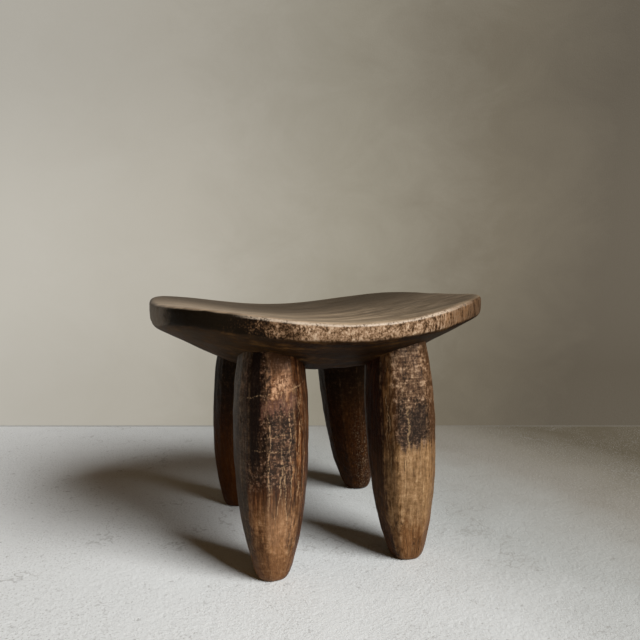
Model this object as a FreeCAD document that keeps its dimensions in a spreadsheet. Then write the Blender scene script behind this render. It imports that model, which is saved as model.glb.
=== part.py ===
import FreeCAD, Part
import math
import os
import Sketcher

# Carved stool, in millimetres. The seat's plan is centred on the origin, the feet stand on z = 0,
# x runs along the seat, y runs from front to back and z is up.

Vector = FreeCAD.Vector
UP = Vector(0, 0, 1)

SIZES = {
    # seat plan: two bowed sides, two bowed ends and round corners
    "seat_length": 454,
    "seat_width": 352,
    "side_bow_radius": 422,
    "end_bow_radius": 577,
    "corner_radius": 88,
    # rim height at the middle of a side, and its rise half way to each end and at each end
    "rim_middle_height": 323.5,
    "left_quarter_rise": 11,
    "right_quarter_rise": 10.8,
    "left_end_rise": 22.3,
    "right_end_rise": 14.8,
    # hollow across the seat: its depth at the lowest line, how far that line lies behind the middle,
    # and how much further back it runs just past the right end
    "dish_depth": 8,
    "dish_shift": 30,
    "right_end_shift": 165,
    "upper_rim_radius": 6,
    "lower_rim_radius": 6,
    # underside: three ellipses, at the belly, at the waist and just above the rim
    "belly_depth": 66.5,
    "belly_end_inset": 106,
    "belly_side_inset": 78,
    "waist_rise": 29,
    "waist_end_inset": 49,
    "waist_side_inset": 26.5,
    "flare_rise": 5.2,
    "flare_end_reach": 72,
    "flare_side_reach": 67,
    # legs: corner radius of the many-sided section at each level
    "foot_bevel": 3.5,
    "foot_bevel_height": 4,
    "foot_radius": 23,
    "ankle_radius": 34,
    "calf_radius": 44,
    "widest_radius": 48,
    "shoulder_radius": 46,
    "neck_radius": 37,
    # two levels measured up from the floor and two measured down from the neck
    "ankle_height": 42,
    "calf_height": 106,
    "widest_drop": 124,
    "shoulder_drop": 54,
    # how far a leg runs up past the belly before it is scribed to the underside
    "neck_rise": 43,
    # round tenon on each leg, and the clearances of the blind mortise that takes it
    "tenon_radius": 18,
    "tenon_length": 40,
    "tenon_root": 12,
    "mortise_clearance": 0.25,
    "mortise_end_gap": 1,
    # each neck's place in from the seat's end and side, and how far its foot stands out from there
    "front_left_end_inset": 134.5,
    "front_left_side_inset": 87,
    "front_left_end_splay": 6,
    "front_left_side_splay": 20.5,
    "front_right_end_inset": 148.5,
    "front_right_side_inset": 75.5,
    "front_right_end_splay": 7,
    "front_right_side_splay": 25,
    "rear_left_end_inset": 152.5,
    "rear_left_side_inset": 82.5,
    "rear_left_end_splay": 13.5,
    "rear_left_side_splay": 28.5,
    "rear_right_end_inset": 142,
    "rear_right_side_inset": 79,
    "rear_right_end_splay": 39,
    "rear_right_side_splay": 19,
}

# Each leg's side of the seat along x and along y.
LEGS = {
    "front_left": ("-", "-"),
    "front_right": ("+", "-"),
    "rear_left": ("-", "+"),
    "rear_right": ("+", "+"),
}
LEG_FLATS = 10

# Room that the cutting shapes run past the seat.
TRIM_MARGIN = 60.0
HOLLOW_MARGIN = 40.0
HOLLOW_HEADROOM = 60.0

HALF_LENGTH = "(sizes.seat_length / 2)"
HALF_WIDTH = "(sizes.seat_width / 2)"
QUARTER_LENGTH = "(sizes.seat_length / 4)"
HIGHEST_RIM = "(sizes.rim_middle_height + max(sizes.left_end_rise; sizes.right_end_rise))"
BELLY_LEVEL = "(sizes.rim_middle_height - sizes.belly_depth)"
WAIST_LEVEL = BELLY_LEVEL + " + sizes.waist_rise"
FLARE_LEVEL = HIGHEST_RIM + " + sizes.flare_rise"
NECK_LEVEL = "(%s + sizes.neck_rise)" % BELLY_LEVEL
DISH_RADIUS = "((%s ^ 2 + sizes.dish_depth ^ 2) / (2 * sizes.dish_depth))" % HALF_WIDTH

doc = FreeCAD.newDocument("carved_stool")
sheet = doc.addObject("Spreadsheet::Sheet", "sizes")
for row, (name, value) in enumerate(SIZES.items(), start=1):
    sheet.set("A%d" % row, name)
    sheet.set("B%d" % row, str(value))
    sheet.setAlias("B%d" % row, name)
doc.recompute()


def value_of(expression):
    return float(sheet.evalExpression(expression))


def plane_of(body, role):
    for item in body.Origin.OriginFeatures:
        if item.Role == role:
            return item
    raise RuntimeError("no plane " + role)


def new_sketch(body, name, role, offset):
    sketch = body.newObject("Sketcher::SketchObject", name)
    sketch.AttachmentSupport = [(plane_of(body, role), "")]
    sketch.MapMode = "FlatFace"
    sketch.setExpression(".AttachmentOffset.Base.z", offset)
    return sketch


def bind(sketch, kind, elements, expression):
    # Adds a dimension whose value follows the sheet.
    constraint = Sketcher.Constraint(kind, *elements, value_of(expression))
    index = sketch.addConstraint(constraint)
    name = "bound_%d" % index
    sketch.renameConstraint(index, name)
    sketch.setExpression("Constraints." + name, expression)


def fix(sketch, kind, *elements):
    sketch.addConstraint(Sketcher.Constraint(kind, *elements))


def corner_centre(half_length, half_width, side, end, corner):
    # The corner arc touches the side arc and the end arc from inside.
    side_centre = half_width - side
    end_centre = half_length - end
    side_reach = side - corner
    end_reach = end - corner
    gap = math.hypot(end_centre, side_centre)
    along = (side_reach ** 2 - end_reach ** 2 + gap ** 2) / (2 * gap)
    across = math.sqrt(side_reach ** 2 - along ** 2)
    unit_x = end_centre / gap
    unit_y = -side_centre / gap
    foot_x = along * unit_x
    foot_y = side_centre + along * unit_y
    if foot_x + across * unit_y > 0:
        return foot_x + across * unit_y, foot_y - across * unit_x
    return foot_x - across * unit_y, foot_y + across * unit_x


def draw_plan(sketch):
    # Eight tangent arcs, anticlockwise from the right end.
    half_length = value_of(HALF_LENGTH)
    half_width = value_of(HALF_WIDTH)
    side = sheet.side_bow_radius
    end = sheet.end_bow_radius
    corner = sheet.corner_radius
    corner_x, corner_y = corner_centre(half_length, half_width, side, end, corner)
    side_y = half_width - side
    end_x = half_length - end
    low = math.atan2(corner_y, corner_x - end_x)
    high = math.atan2(corner_y - side_y, corner_x)
    half = math.pi
    arcs = (
        (end_x, 0, end, -low, low),
        (corner_x, corner_y, corner, low, high),
        (0, side_y, side, high, half - high),
        (-corner_x, corner_y, corner, half - high, half - low),
        (-end_x, 0, end, half - low, half + low),
        (-corner_x, -corner_y, corner, half + low, half + high),
        (0, -side_y, side, half + high, 2 * half - high),
        (corner_x, -corner_y, corner, 2 * half - high, 2 * half - low),
    )
    for centre_x, centre_y, radius, start, stop in arcs:
        circle = Part.Circle(Vector(centre_x, centre_y, 0), UP, radius)
        sketch.addGeometry(Part.ArcOfCircle(circle, start, stop), False)
    for index in range(len(arcs)):
        fix(sketch, "Tangent", index, 2, (index + 1) % len(arcs), 1)
    for index in (0, 4):
        fix(sketch, "PointOnObject", index, 3, -1)
    for index in (2, 6):
        fix(sketch, "PointOnObject", index, 3, -2)
    for first, second in ((0, 4), (2, 6), (1, 3), (1, 5), (1, 7)):
        fix(sketch, "Equal", first, second)
    bind(sketch, "Radius", (0,), "sizes.end_bow_radius")
    bind(sketch, "Radius", (2,), "sizes.side_bow_radius")
    bind(sketch, "Radius", (1,), "sizes.corner_radius")
    bind(sketch, "DistanceX", (-1, 1, 0, 3), HALF_LENGTH + " - sizes.end_bow_radius")
    bind(sketch, "DistanceX", (-1, 1, 4, 3), "sizes.end_bow_radius - " + HALF_LENGTH)
    bind(sketch, "DistanceY", (-1, 1, 2, 3), HALF_WIDTH + " - sizes.side_bow_radius")
    bind(sketch, "DistanceY", (-1, 1, 6, 3), "sizes.side_bow_radius - " + HALF_WIDTH)
    return len(arcs)


def draw_frame(sketch, first):
    # Rectangle round the plan, so that what lies between the two is cut away.
    reach_x = HALF_LENGTH + " + sizes.flare_end_reach + %g" % TRIM_MARGIN
    reach_y = HALF_WIDTH + " + sizes.flare_side_reach + %g" % TRIM_MARGIN
    right = value_of(reach_x)
    back = value_of(reach_y)
    corners = (
        Vector(-right, -back, 0),
        Vector(right, -back, 0),
        Vector(right, back, 0),
        Vector(-right, back, 0),
    )
    for index in range(4):
        line = Part.LineSegment(corners[index], corners[(index + 1) % 4])
        sketch.addGeometry(line, False)
    for index in range(4):
        fix(sketch, "Coincident", first + index, 2, first + (index + 1) % 4, 1)
    for index in (0, 2):
        fix(sketch, "Horizontal", first + index)
        fix(sketch, "Vertical", first + index + 1)
    fix(sketch, "Symmetric", first, 1, first + 1, 2, -1, 1)
    bind(sketch, "DistanceX", (first, 1, first, 2), "2 * (%s)" % reach_x)
    bind(sketch, "DistanceY", (first + 1, 1, first + 1, 2), "2 * (%s)" % reach_y)


def draw_ellipse(sketch, half_length, half_width):
    # Ellipse about the origin, its longer axis along whichever half size is larger.
    along_x = value_of(half_length) >= value_of(half_width)
    long_half, short_half = (half_length, half_width) if along_x else (half_width, half_length)
    long_value = value_of(long_half)
    short_value = value_of(short_half)
    tip = Vector(long_value, 0, 0) if along_x else Vector(0, long_value, 0)
    side = Vector(0, short_value, 0) if along_x else Vector(-short_value, 0, 0)
    sketch.addGeometry(Part.Ellipse(tip, side, Vector(0, 0, 0)), False)
    sketch.exposeInternalGeometry(0)
    fix(sketch, "Coincident", 0, 3, -1, 1)
    fix(sketch, "Horizontal" if along_x else "Vertical", 1)
    bind(sketch, "Distance", (1,), "2 * (%s)" % long_half)
    bind(sketch, "Distance", (2,), "2 * (%s)" % short_half)


def draw_hollow(sketch, rim_height, lowest_line):
    # Everything above a shallow arc across the seat.
    half_expression = HALF_WIDTH + " + %g" % HOLLOW_MARGIN
    centre_expression = "%s - sizes.dish_depth + %s" % (rim_height, DISH_RADIUS)
    top_expression = HIGHEST_RIM + " + %g" % HOLLOW_HEADROOM
    radius = value_of(DISH_RADIUS)
    half_width = value_of(half_expression)
    centre_z = value_of(centre_expression)
    top = value_of(top_expression)
    shift = value_of(lowest_line)
    front_swing = math.asin((half_width + shift) / radius)
    back_swing = math.asin((half_width - shift) / radius)
    circle = Part.Circle(Vector(shift, centre_z, 0), UP, radius)
    lowest = 1.5 * math.pi
    sketch.addGeometry(Part.ArcOfCircle(circle, lowest - front_swing, lowest + back_swing), False)
    back_low = Vector(half_width, centre_z - radius * math.cos(back_swing), 0)
    back_high = Vector(half_width, top, 0)
    front_high = Vector(-half_width, top, 0)
    front_low = Vector(-half_width, centre_z - radius * math.cos(front_swing), 0)
    sketch.addGeometry(Part.LineSegment(back_low, back_high), False)
    sketch.addGeometry(Part.LineSegment(back_high, front_high), False)
    sketch.addGeometry(Part.LineSegment(front_high, front_low), False)
    for first, second in ((0, 1), (1, 2), (2, 3), (3, 0)):
        fix(sketch, "Coincident", first, 2, second, 1)
    fix(sketch, "Vertical", 1)
    fix(sketch, "Vertical", 3)
    fix(sketch, "Horizontal", 2)
    bind(sketch, "Radius", (0,), DISH_RADIUS)
    bind(sketch, "DistanceX", (-1, 1, 0, 3), lowest_line)
    bind(sketch, "DistanceY", (-1, 1, 0, 3), centre_expression)
    bind(sketch, "DistanceX", (-1, 1, 0, 2), half_expression)
    bind(sketch, "DistanceX", (0, 1, -1, 1), half_expression)
    bind(sketch, "DistanceY", (-1, 1, 1, 2), top_expression)


# Seat blank: the underside is lofted through three outlines, then trimmed to the plan.
seat_blank = doc.addObject("PartDesign::Body", "seat_blank")

OUTLINES = (
    ("belly", BELLY_LEVEL, " - sizes.belly_end_inset", " - sizes.belly_side_inset"),
    ("waist", WAIST_LEVEL, " - sizes.waist_end_inset", " - sizes.waist_side_inset"),
    ("flare", FLARE_LEVEL, " + sizes.flare_end_reach", " + sizes.flare_side_reach"),
)
outlines = []
for name, level, end_change, side_change in OUTLINES:
    outline = new_sketch(seat_blank, name + "_outline", "XY_Plane", level)
    draw_ellipse(outline, HALF_LENGTH + end_change, HALF_WIDTH + side_change)
    outlines.append(outline)
doc.recompute()

underside = seat_blank.newObject("PartDesign::AdditiveLoft", "underside")
underside.Profile = outlines[0]
underside.Sections = outlines[1:]
underside.Ruled = False
doc.recompute()

plan = new_sketch(seat_blank, "plan_outline", "XY_Plane", BELLY_LEVEL)
arc_count = draw_plan(plan)
draw_frame(plan, arc_count)
doc.recompute()

trim = seat_blank.newObject("PartDesign::Pocket", "trim_to_plan")
trim.Profile = plan
trim.Type = "ThroughAll"
trim.Midplane = True
doc.recompute()
if trim.Shape.Volume > underside.Shape.Volume - 1:
    raise RuntimeError("the trim removed nothing")


def quarter_height(side):
    return "sizes.rim_middle_height + sizes.%s_quarter_rise" % side


def past_end_height(side):
    # The hollow runs on past the end at its slope between the quarter point and the end.
    end = "sizes.%s_end_rise" % side
    slope = "(%s - sizes.%s_quarter_rise) / %s" % (end, side, QUARTER_LENGTH)
    return "sizes.rim_middle_height + %s + %g * %s" % (end, HOLLOW_MARGIN, slope)


# Hollow of the seat: five cross-sections along x.
LOWEST_LINE = "sizes.dish_shift"
STATIONS = (
    ("past_left", "-%s - %g" % (HALF_LENGTH, HOLLOW_MARGIN), past_end_height("left"), LOWEST_LINE),
    ("left", "-" + QUARTER_LENGTH, quarter_height("left"), LOWEST_LINE),
    ("middle", "0", "sizes.rim_middle_height", LOWEST_LINE),
    ("right", QUARTER_LENGTH, quarter_height("right"), LOWEST_LINE),
    (
        "past_right",
        "%s + %g" % (HALF_LENGTH, HOLLOW_MARGIN),
        past_end_height("right"),
        LOWEST_LINE + " + sizes.right_end_shift",
    ),
)
hollow_sections = []
for name, place, height, lowest_line in STATIONS:
    section = new_sketch(seat_blank, "hollow_" + name, "YZ_Plane", place)
    draw_hollow(section, height, lowest_line)
    hollow_sections.append(section)
doc.recompute()

hollow = seat_blank.newObject("PartDesign::SubtractiveLoft", "hollow")
hollow.Profile = hollow_sections[0]
hollow.Sections = hollow_sections[1:]
hollow.Ruled = False
doc.recompute()
if hollow.Shape.Volume > trim.Shape.Volume - 1:
    raise RuntimeError("the hollow removed nothing")


def wall_edges(shape, upper):
    # Edges where an upright wall of the rim meets the hollow above it or the underside below it.
    names = []
    for index, edge in enumerate(shape.Edges, start=1):
        faces = shape.ancestorsOfType(edge, Part.Face)
        walls = [face for face in faces if isinstance(face.Surface, Part.Cylinder)]
        if len(walls) == 1 and (edge.CenterOfMass.z > walls[0].CenterOfMass.z) == upper:
            names.append("Edge%d" % index)
    return names


def round_rim(name, base, upper, radius):
    rounding = seat_blank.newObject("PartDesign::Fillet", name)
    rounding.Base = (base, wall_edges(base.Shape, upper))
    rounding.setExpression("Radius", radius)
    seat_blank.Tip = rounding
    doc.recompute()
    return rounding


upper_rim = round_rim("worn_upper_rim", hollow, True, "sizes.upper_rim_radius")
round_rim("worn_lower_rim", upper_rim, False, "sizes.lower_rim_radius")


def neck_place(leg, axis):
    side = LEGS[leg]["xy".index(axis)]
    if axis == "x":
        return "%s(%s - sizes.%s_end_inset)" % (side, HALF_LENGTH, leg)
    return "%s(%s - sizes.%s_side_inset)" % (side, HALF_WIDTH, leg)


def lean_at(leg, axis, height):
    # The leg's middle at a height, on the straight line from its foot to its neck.
    side = LEGS[leg]["xy".index(axis)]
    splay = "sizes.%s_%s_splay" % (leg, "end" if axis == "x" else "side")
    return "%s %s %s * (1 - (%s) / %s)" % (neck_place(leg, axis), side, splay, height, NECK_LEVEL)


def leg_section(leg, name, height, radius):
    polygon = doc.addObject("Part::RegularPolygon", "%s_%s" % (leg, name))
    polygon.Polygon = LEG_FLATS
    polygon.setExpression("Circumradius", radius)
    polygon.setExpression(".Placement.Base.x", lean_at(leg, "x", height))
    polygon.setExpression(".Placement.Base.y", lean_at(leg, "y", height))
    polygon.setExpression(".Placement.Base.z", height)
    return polygon


def loft(name, sections, ruled):
    solid = doc.addObject("Part::Loft", name)
    solid.Sections = sections
    solid.Solid = True
    solid.Ruled = ruled
    return solid


def upright_cylinder(name, leg, radius, low, length):
    cylinder = doc.addObject("Part::Cylinder", name)
    cylinder.setExpression("Radius", radius)
    cylinder.setExpression("Height", length)
    cylinder.setExpression(".Placement.Base.x", neck_place(leg, "x"))
    cylinder.setExpression(".Placement.Base.y", neck_place(leg, "y"))
    cylinder.setExpression(".Placement.Base.z", low)
    return cylinder


def combine(kind, name, base, tool):
    result = doc.addObject(kind, name)
    result.Base = base
    result.Tool = tool
    result.Refine = False
    return result


# Legs: many-sided sections lofted from foot to neck, scribed to the underside, each with a tenon.
SHAFT_LEVELS = (
    ("foot", "sizes.foot_bevel_height"),
    ("ankle", "sizes.ankle_height"),
    ("calf", "sizes.calf_height"),
    ("widest", NECK_LEVEL + " - sizes.widest_drop"),
    ("shoulder", NECK_LEVEL + " - sizes.shoulder_drop"),
    ("neck", NECK_LEVEL),
)
TENON_LOW = BELLY_LEVEL + " - sizes.tenon_root"
TENON_SPAN = "sizes.tenon_length + sizes.tenon_root"

mortises = []
legs = []
for leg in LEGS:
    sole = leg_section(leg, "sole", "0", "sizes.foot_radius - sizes.foot_bevel")
    levels = [leg_section(leg, name, height, "sizes.%s_radius" % name) for name, height in SHAFT_LEVELS]
    bevel = loft(leg + "_bevel", [sole, levels[0]], True)
    shaft = loft(leg + "_shaft", levels, False)
    blank = combine("Part::Fuse", leg + "_blank", bevel, shaft)
    scribed = combine("Part::Cut", leg + "_scribed", blank, seat_blank)
    tenon = upright_cylinder(leg + "_tenon", leg, "sizes.tenon_radius", TENON_LOW, TENON_SPAN)
    whole = combine("Part::Fuse", leg + "_leg", scribed, tenon)
    whole.Label = leg + "_leg"
    legs.append(whole)
    bore_radius = "sizes.tenon_radius + sizes.mortise_clearance"
    bore_span = TENON_SPAN + " + sizes.mortise_end_gap"
    mortises.append(upright_cylinder(leg + "_mortise", leg, bore_radius, TENON_LOW, bore_span))

bores = doc.addObject("Part::MultiFuse", "mortises")
bores.Shapes = mortises
seat = combine("Part::Cut", "seat", seat_blank, bores)
seat.Label = "seat"
doc.recompute()

for item in doc.Objects:
    if "Invalid" in item.State or "Error" in item.State:
        raise RuntimeError("%s did not build" % item.Name)

os.makedirs("parts", exist_ok=True)
for item in [seat] + legs:
    shape = item.Shape
    if shape.isNull() or not shape.isValid() or len(shape.Solids) != 1:
        raise RuntimeError("%s is not one valid solid" % item.Label)
    shape.exportStep("parts/%s.step" % item.Label)
    print(item.Label, round(shape.Volume / 1000), "cm3", shape.optimalBoundingBox(True, False))
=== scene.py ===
import math

import bmesh
import bpy
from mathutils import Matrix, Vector


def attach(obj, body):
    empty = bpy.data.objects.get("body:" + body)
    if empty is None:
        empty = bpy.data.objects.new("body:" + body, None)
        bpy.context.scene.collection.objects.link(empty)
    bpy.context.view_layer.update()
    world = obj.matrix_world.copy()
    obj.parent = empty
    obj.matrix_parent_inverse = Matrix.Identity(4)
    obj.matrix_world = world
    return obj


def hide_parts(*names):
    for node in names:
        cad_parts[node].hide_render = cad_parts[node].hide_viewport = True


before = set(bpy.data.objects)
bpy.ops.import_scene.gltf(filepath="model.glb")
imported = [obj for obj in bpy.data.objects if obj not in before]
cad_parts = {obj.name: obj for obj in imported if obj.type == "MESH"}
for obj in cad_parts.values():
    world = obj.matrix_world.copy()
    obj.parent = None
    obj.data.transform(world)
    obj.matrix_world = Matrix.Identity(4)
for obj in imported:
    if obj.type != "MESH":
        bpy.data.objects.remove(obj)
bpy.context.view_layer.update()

# Sizes of the seat, in metres. Its plan has bowed sides, bowed ends and round corners.
SEAT_HALF_LENGTH = 0.227
SEAT_HALF_WIDTH = 0.176
SIDE_BOW = 0.422
END_BOW = 0.577
CORNER = 0.088
DISH_DEPTH = 0.008
DISH_RADIUS = 1.94
UPPER_RIM = 0.007
LOWER_RIM = 0.006

# Height of the rim, and how far behind the middle the lowest line of the top runs, at five places
# along the seat, as shares of its half length.
PLACES_ALONG = (-1, -0.5, 0, 0.5, 1)
RIM_HEIGHTS = (0.35086, 0.334512, 0.32348, 0.334324, 0.34822)
LOWEST_LINE = (0.0208, 0.030255, 0.02978, 0.03052, 0.11142)

# Half length, half width and height of the underside at its belly, waist and flare.
BELLY = 0.257
UNDERSIDE = ((0.121, 0.098, BELLY), (0.178, 0.1495, 0.286), (0.299, 0.243, 0.351))
UNDERSIDE_WAIST = 0.33

# The seat starts as a square grid. The rim is smoothed round the places of the grid's corners.
SEAT_GRID = 40
GRID_CORNER = (0.177, 0.130)
GRID_CORNER_REACH = 0.016

# Tenons, and the blind mortises that take them. A borer starts below the belly. Points this close
# to a mortise's wall lie on its mouth, and those that crowd there are merged.
TENON_RADIUS = 0.018
TENON_TOP = 0.297
MORTISE_RADIUS = 0.01825
MORTISE_TOP = 0.298
BORER_START = BELLY - 0.02
MOUTH_REACH = 0.0004
MOUTH_CROWDING = 0.0007

# Height and corner radius of a leg at each of its rings, and how it narrows from there to its neck.
NECK = 0.300
LEG_RINGS = (
    (0.000, 0.0195),
    (0.004, 0.0230),
    (0.012, 0.0258),
    (0.026, 0.0298),
    (0.042, 0.0340),
    (0.060, 0.0377),
    (0.080, 0.0409),
    (0.100, 0.0434),
    (0.120, 0.0453),
    (0.140, 0.0467),
    (0.160, 0.0476),
    (0.180, 0.0481),
    (0.200, 0.0481),
    (0.220, 0.0476),
    (0.236, 0.0467),
    (0.250, 0.0455),
)
NECK_TAPER = 0.0045
NECK_CURVE = 0.0040

# A flat wider than this, in degrees, is crowned by this share of the way from flat to round.
WIDE_FLAT = 26
FLAT_CROWN = 0.42

# An edge lies on an arris if it is within this many degrees of it. How far an arris is softened to
# each side, the steps in from the sole's edge, and how far a leg's open top may dip.
ARRIS_REACH = 2.0
ARRIS_SOFTNESS = 0.0022
SOLE_INSETS = (0.003, 0.006)
SCRIBED_DEPTH = 0.06

# Slope that parts walls from level faces and upright edges from level ones, the first rise of a new
# ring before it is put in its place, and the bend up to which an edge is shaded smooth.
STEEP = 0.3
FIRST_RISE = 0.01
SMOOTH_BEND = math.radians(50)

# Each leg: the middle of its sole, the middle of its neck, the way it faces in plan, in degrees,
# and the places of its arrises round it, in degrees from that way.
LEGS = {
    "front_left_leg": {
        "sole": (-0.0985, -0.1095),
        "neck": (-0.0925, -0.0890),
        "facing": -106,
        "arrises": (-148, -94, -54, -35, -6, 35, 52, 92, 132, 170),
    },
    "front_right_leg": {
        "sole": (0.0855, -0.1255),
        "neck": (0.0785, -0.1005),
        "facing": -119,
        "arrises": (-150, -108, -66, -28, -10, 47, 84, 120, 154, 185),
    },
    "rear_left_leg": {
        "sole": (-0.0880, 0.1220),
        "neck": (-0.0745, 0.0935),
        "facing": -104,
        "arrises": (-160, -122, -80, -48, -20, 18, 54, 92, 128, 166),
    },
    "rear_right_leg": {
        "sole": (0.1240, 0.1160),
        "neck": (0.0850, 0.0970),
        "facing": -114,
        "arrises": (-152, -118, -84, -50, -14, 22, 58, 96, 134, 172),
    },
}

# The camera and the floor turn together. The floor's wall tone starts at a line this far back, and
# is laid out as seen from the camera's distance and height.
VIEW_TURN = -0.37115
VIEW_TILT = math.pi / 2 - 0.115039
CAMERA_PLACE = (-0.30096, -0.79631, 0.40838)
CAMERA_LENS = 33.3
EYE_DISTANCE = 0.85
EYE_HEIGHT = 0.41
FLOOR_SIZE = (14, 6.6, 1)
FLOOR_MIDDLE = (0, -0.7, 0)
WALL_HEIGHT = 5
WALL_SWEEP = 1.4
WALL_LINE = 0.508

# The lamp's heading in plan, its rise, its distance, its size and its level, and the weak fill.
LAMP_HEADING = (0.555, -0.832, 0)
LAMP_RISE = math.radians(39)
LAMP_AWAY = 8.0
LAMP_SIZE = (3.7, 4.6)
LAMP_LEVEL = 1.42
LAMP_AIM = Vector((0, 0, 0.2))
FILL_LEVEL = 0.078
FILL_COLOUR = (1.0, 0.60, 0.26, 1)


def let_go():
    """Leaves edit mode and clears the selection, so that the next step acts on nothing else."""
    if bpy.context.mode != "OBJECT":
        bpy.ops.object.mode_set(mode="OBJECT")
    bpy.ops.object.select_all(action="DESELECT")


def take_up(piece):
    """Makes one piece the only selected and active one."""
    let_go()
    piece.select_set(True)
    bpy.context.view_layer.objects.active = piece


def open_up(piece):
    """Takes a piece into edit mode."""
    take_up(piece)
    bpy.ops.object.mode_set(mode="EDIT")


def choose_points(piece, test):
    """Selects, in edit mode, the points that pass the test."""
    bpy.ops.mesh.select_mode(type="VERT")
    bpy.ops.mesh.select_all(action="DESELECT")
    mesh = bmesh.from_edit_mesh(piece.data)
    for point in mesh.verts:
        point.select_set(test(point))
    mesh.select_flush_mode()
    bmesh.update_edit_mesh(piece.data)


def choose_edges(piece, test):
    """Selects, in edit mode, the edges that pass the test."""
    bpy.ops.mesh.select_mode(type="EDGE")
    bpy.ops.mesh.select_all(action="DESELECT")
    mesh = bmesh.from_edit_mesh(piece.data)
    for edge in mesh.edges:
        edge.select_set(test(edge))
    mesh.select_flush_mode()
    bmesh.update_edit_mesh(piece.data)


def face_outwards():
    """Turns all faces outwards, in edit mode, and leaves it."""
    bpy.ops.mesh.select_all(action="SELECT")
    bpy.ops.mesh.normals_make_consistent(inside=False)
    bpy.ops.object.mode_set(mode="OBJECT")


def apply_modifier(piece, kind, **settings):
    """Adds a modifier to a piece, sets it and applies it."""
    take_up(piece)
    bpy.ops.object.modifier_add(type=kind)
    modifier = piece.modifiers[-1]
    for name, value in settings.items():
        setattr(modifier, name, value)
    bpy.ops.object.modifier_apply(modifier=modifier.name)


def refine(piece, levels):
    """Divides a piece into a finer, rounder mesh."""
    apply_modifier(piece, "SUBSURF", levels=levels, render_levels=levels)


def roughen(piece, name, kind, size, depth, group, stretch=(1, 1, 1)):
    """Pushes the surface in and out by a solid pattern, as a blade or wear leaves it."""
    texture = bpy.data.textures.new(name, kind)
    texture.noise_scale = size
    let_go()
    bpy.ops.object.empty_add()
    guide = bpy.context.object
    guide.scale = stretch
    bpy.context.view_layer.update()
    apply_modifier(
        piece,
        "DISPLACE",
        texture=texture,
        texture_coords="OBJECT",
        texture_coords_object=guide,
        strength=depth,
        mid_level=0.5,
        vertex_group=group,
    )
    bpy.data.objects.remove(guide)


def mark(piece, name, measure):
    """Keeps a number for every point of a piece, for its finish to read."""
    values = [measure(point) for point in piece.data.vertices]
    attribute = piece.data.attributes.new(name, "FLOAT", "POINT")
    attribute.data.foreach_set("value", values)


def zone(piece, name, measure):
    """Makes a vertex group with a weight for every point."""
    group = piece.vertex_groups.new(name=name)
    for point in piece.data.vertices:
        weight = min(max(measure(point), 0.0), 1.0)
        if weight > 0:
            group.add([point.index], weight, "REPLACE")


def eased(value, low, high):
    """Runs smoothly from 0 at low to 1 at high."""
    share = min(max((value - low) / (high - low), 0.0), 1.0)
    return share * share * (3 - 2 * share)


def crossing(first, first_reach, second, second_reach):
    """The place at both reaches from two others, to the left of the way between them."""
    way = second - first
    ahead = (first_reach ** 2 - second_reach ** 2 + way.length_squared) / (2 * way.length)
    aside = math.sqrt(first_reach ** 2 - ahead ** 2)
    return first + way.normalized() * ahead + way.normalized().orthogonal() * aside


# Middle of the corner's arc, which touches both bows, and the directions that the arc covers.
CORNER_X, CORNER_Y = crossing(
    Vector((SEAT_HALF_LENGTH - END_BOW, 0)),
    END_BOW - CORNER,
    Vector((0, SEAT_HALF_WIDTH - SIDE_BOW)),
    SIDE_BOW - CORNER,
)
CORNER_FROM = math.atan2(CORNER_Y, CORNER_X + END_BOW - SEAT_HALF_LENGTH)
CORNER_TO = math.atan2(CORNER_Y + SIDE_BOW - SEAT_HALF_WIDTH, CORNER_X)


def plan_inset(x, y):
    """How far a place in the plan lies inside the seat's outline."""
    x, y = abs(x), abs(y)
    if CORNER_FROM < math.atan2(y - CORNER_Y, x - CORNER_X) < CORNER_TO:
        return CORNER - math.hypot(x - CORNER_X, y - CORNER_Y)
    side = SIDE_BOW - math.hypot(x, y + SIDE_BOW - SEAT_HALF_WIDTH)
    end = END_BOW - math.hypot(x + END_BOW - SEAT_HALF_LENGTH, y)
    return min(side, end)


def outline_point(angle):
    """The place on the seat's outline in one direction."""
    along = SEAT_HALF_LENGTH * math.cos(angle)
    across = SEAT_HALF_WIDTH * math.sin(angle)
    low, high = 0.5, 2.0
    for _ in range(40):
        middle = (low + high) / 2
        if plan_inset(middle * along, middle * across) > 0:
            low = middle
        else:
            high = middle
    return low * along, low * across


def square_to_plan(x, y):
    """Carries a place on the grid's square, ring by ring, over to the seat's plan."""
    ring = max(abs(x), abs(y))
    if ring < 1e-6:
        return x, y
    across_first = abs(y) > abs(x)
    near, far = (y, x) if across_first else (x, y)
    turn = math.pi / 4 * far / abs(near)
    if across_first:
        angle = math.pi / 2 - turn if near > 0 else turn - math.pi / 2
    else:
        angle = turn if near > 0 else math.pi - turn
    along, across = outline_point(angle)
    return ring * along, ring * across


def along_seat(values, x):
    """A smooth line through the values at the five places along the seat."""
    share = x / SEAT_HALF_LENGTH
    total = 0.0
    for value, place in zip(values, PLACES_ALONG):
        others = [other for other in PLACES_ALONG if other != place]
        total += value * math.prod((share - other) / (place - other) for other in others)
    return total


def seat_top(x, y):
    """Height of the hollowed top: it rises to both ends and dips along a line behind the middle."""
    aside = y - along_seat(LOWEST_LINE, x)
    climb = DISH_RADIUS - math.sqrt(DISH_RADIUS ** 2 - aside ** 2)
    return along_seat(RIM_HEIGHTS, x) - DISH_DEPTH + climb


def underside_outline(share):
    """Half length, half width and height of the underside, from belly at 0 to flare at 1."""
    waist = UNDERSIDE_WAIST
    belly_part = (share - waist) * (share - 1) / waist
    waist_part = share * (share - 1) / (waist * (waist - 1))
    flare_part = share * (share - waist) / (1 - waist)
    return tuple(
        belly_part * belly + waist_part * middle + flare_part * flare
        for belly, middle, flare in zip(*UNDERSIDE)
    )


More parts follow.
